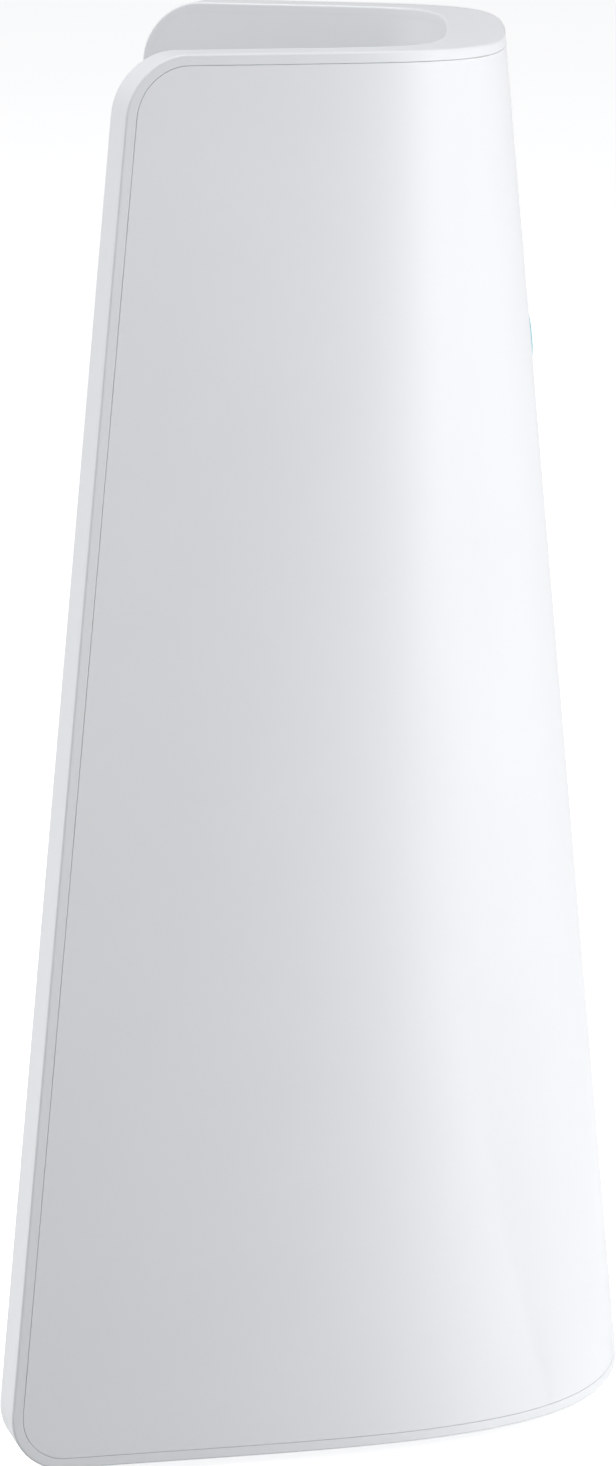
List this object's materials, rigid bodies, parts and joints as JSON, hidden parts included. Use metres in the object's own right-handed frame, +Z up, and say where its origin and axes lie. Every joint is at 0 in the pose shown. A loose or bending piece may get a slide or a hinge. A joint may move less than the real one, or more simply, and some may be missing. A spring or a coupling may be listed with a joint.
{
  "type": "mesh wifi node",
  "caption": "Tall tapering mesh wifi node folded into a U, with a status light on its nose and its ports and buttons low inside the fold.",
  "frame": {"origin": "centre of the whole part's box, at the undersides of the feet", "axes": "-Y is the front, +Y the open back, +Z up"},
  "size_m": [0.1558, 0.117, 0.262],
  "materials": {
    "cover_plastic": "satin, very fine even texture",
    "frame_plastic": "satin",
    "rear_plastic": "satin, very fine even texture",
    "housing_plastic": "satin, fine texture",
    "rubber": "soft matte",
    "label": "blank paper-like film",
    "lens": "translucent, lit cyan",
    "dark_plastic": "moulded",
    "circuit_board": "solder mask with tracks",
    "led": "moulded package",
    "ribbon": "polyimide film",
    "aluminium": "extruded",
    "thermal_pad": "soft pad",
    "chip": "moulded epoxy",
    "steel": "plated",
    "wan_plastic": "moulded",
    "lan_plastic": "moulded",
    "gold": "gold plated",
    "brass": "turned",
    "button_plastic": "satin",
    "antenna_board": "black solder mask with copper",
    "clear_plastic": "moulded",
    "coax": "extruded jacket"
  },
  "bodies": {
    "casing": {"front_cover": "cover_plastic", "rim_frame": "frame_plastic", "rear_cover": "rear_plastic", "port_housing": "housing_plastic", "rubber_feet": "rubber", "label_plate": "label", "status_lens": "lens", "light_shroud": "dark_plastic", "light_board": "circuit_board", "status_led": "led", "light_ribbon": "ribbon", "main_board": "circuit_board", "heat_sink": "aluminium", "thermal_pads": "thermal_pad", "processor_chips": "chip", "memory_chips": "chip", "shield_cans": "steel", "lan_magnetics": "chip", "capacitors": "chip", "wan_jack": "wan_plastic", "lan_jacks": "lan_plastic", "jack_contacts": "gold", "power_jack": "dark_plastic", "power_jack_pin": "steel", "tact_switches": "dark_plastic", "low_band_antennas": "antenna_board", "high_band_antennas": "antenna_board", "backhaul_antennas": "antenna_board", "antenna_holders": "clear_plastic", "coax_leads": "coax", "coax_plugs": "gold", "threaded_inserts": "brass", "board_screws": "steel", "housing_screws": "steel", "heat_sink_screws": "steel"},
    "power_button": {"power_button": "button_plastic"},
    "sync_button": {"sync_button": "button_plastic"},
    "reset_button": {"reset_button": "button_plastic"}
  },
  "joints": [
    {"name": "power_press", "type": "slide", "parent": "casing", "child": "power_button", "axis": [0, -1, 0], "range_m": [0, 0.0015], "stiffness_N_per_m": 900, "springref_m": -0.0008},
    {"name": "sync_press", "type": "slide", "parent": "casing", "child": "sync_button", "axis": [0, -1, 0], "range_m": [0, 0.0006], "stiffness_N_per_m": 1800, "springref_m": -0.0006},
    {"name": "reset_press", "type": "slide", "parent": "casing", "child": "reset_button", "axis": [0, -1, 0], "range_m": [0, 0.0005], "stiffness_N_per_m": 1800, "springref_m": -0.0006}
  ]
}
